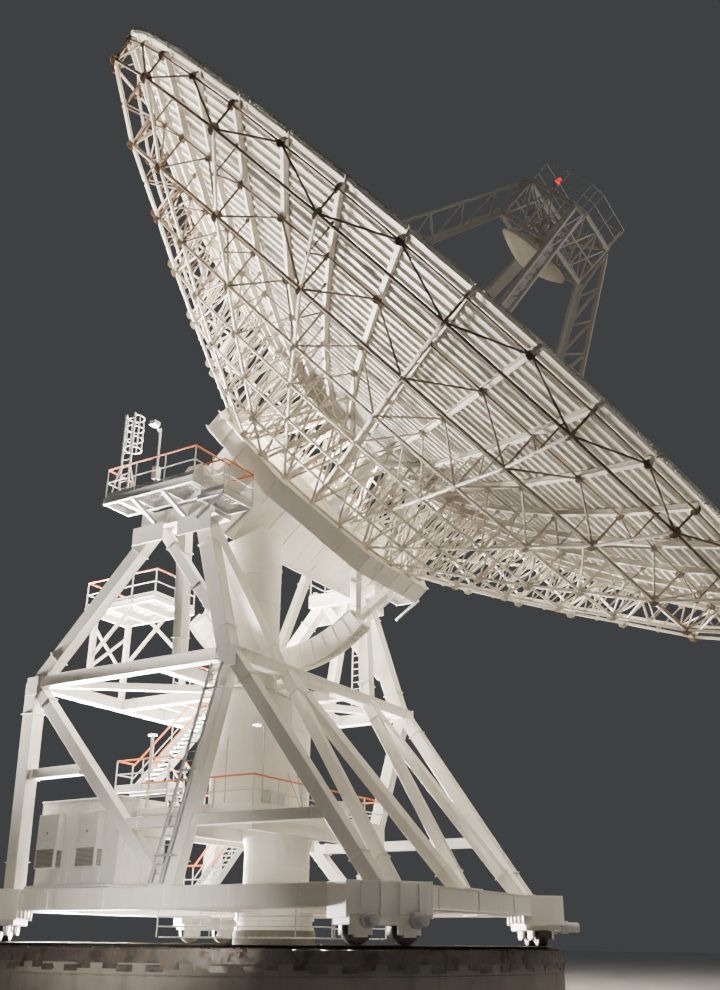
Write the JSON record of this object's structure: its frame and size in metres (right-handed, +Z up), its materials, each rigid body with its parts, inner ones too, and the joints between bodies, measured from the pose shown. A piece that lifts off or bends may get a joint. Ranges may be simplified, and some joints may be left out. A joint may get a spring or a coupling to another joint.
{
  "type": "radio telescope dish",
  "caption": "Steerable dish antenna: lattice-backed bowl with four-legged feed support, tipping on a braced steel frame that turns on a ring track.",
  "frame": {"origin": "where the azimuth axis meets the ground, at the middle of the foundation's flat underside", "axes": "+Z up along the azimuth axis; X along the elevation axis; the dish looks towards -Y, raised 40.5 degrees at rest"},
  "size_m": [34, 29.8599, 37.8177],
  "materials": {
    "concrete": "rough cast concrete",
    "rail_steel": "worn steel track",
    "white_paint": "satin warm white paint",
    "panel_paint": "matt white painted aluminium sheet",
    "truss_paint": "satin warm white paint",
    "galvanised": "galvanised steel with orange painted rails",
    "cabin_paint": "grey beige paint",
    "grey_paint": "satin grey paint",
    "lamp_glass": "red lamp glass"
  },
  "bodies": {
    "foundation": {"pedestal": "concrete", "azimuth_track": "rail_steel"},
    "alidade": {"wheel_truck_front_left": "white_paint", "wheel_truck_front_right": "white_paint", "wheel_truck_back_left": "white_paint", "wheel_truck_back_right": "white_paint", "base_beam_left": "white_paint", "base_beam_right": "white_paint", "base_beam_front": "white_paint", "base_beam_back": "white_paint", "base_cross": "white_paint", "side_frame_left": "white_paint", "side_frame_right": "white_paint", "front_legs": "white_paint", "ring_beam_left": "white_paint", "ring_beam_right": "white_paint", "ring_beam_front": "white_paint", "ring_beam_back": "white_paint", "ring_grid": "white_paint", "tower_left": "white_paint", "tower_right": "white_paint", "elevation_bearing_left": "white_paint", "elevation_bearing_right": "white_paint", "bearing_platform_left": "galvanised", "bearing_platform_right": "galvanised", "central_tube": "white_paint", "lower_deck": "galvanised", "waveguide_drum": "white_paint", "waveguide_tube": "white_paint", "equipment_cabin": "cabin_paint", "cooling_unit_1": "grey_paint", "cooling_unit_2": "grey_paint", "leg_ladder": "galvanised", "cage_ladder": "galvanised", "lower_stair": "galvanised", "upper_stair": "galvanised", "rear_walkway": "white_paint", "elevation_drive": "grey_paint"},
    "reflector": {"elevation_girder": "white_paint", "hub_ring": "white_paint", "elevation_wheel": "white_paint", "rib_quadrant_1": "truss_paint", "rib_quadrant_2": "truss_paint", "rib_quadrant_3": "truss_paint", "rib_quadrant_4": "truss_paint", "panel_quarter_1": "panel_paint", "panel_quarter_2": "panel_paint", "panel_quarter_3": "panel_paint", "panel_quarter_4": "panel_paint", "feed_leg_1": "truss_paint", "feed_leg_2": "truss_paint", "feed_leg_3": "truss_paint", "feed_leg_4": "truss_paint", "apex_frame": "truss_paint", "subreflector": "panel_paint", "aviation_lamp": "lamp_glass", "vertex_tube": "grey_paint"}
  },
  "joints": [
    {"name": "azimuth_turn", "type": "hinge", "parent": "foundation", "child": "alidade", "pos_m": [0, 0, 2.2], "axis": [0, 0, 1], "range_deg": [-270, 270]},
    {"name": "elevation_tip", "type": "hinge", "parent": "alidade", "child": "reflector", "pos_m": [0, 0, 17.7], "axis": [-1, 0, 0], "range_deg": [-34.5, 49.5]}
  ]
}
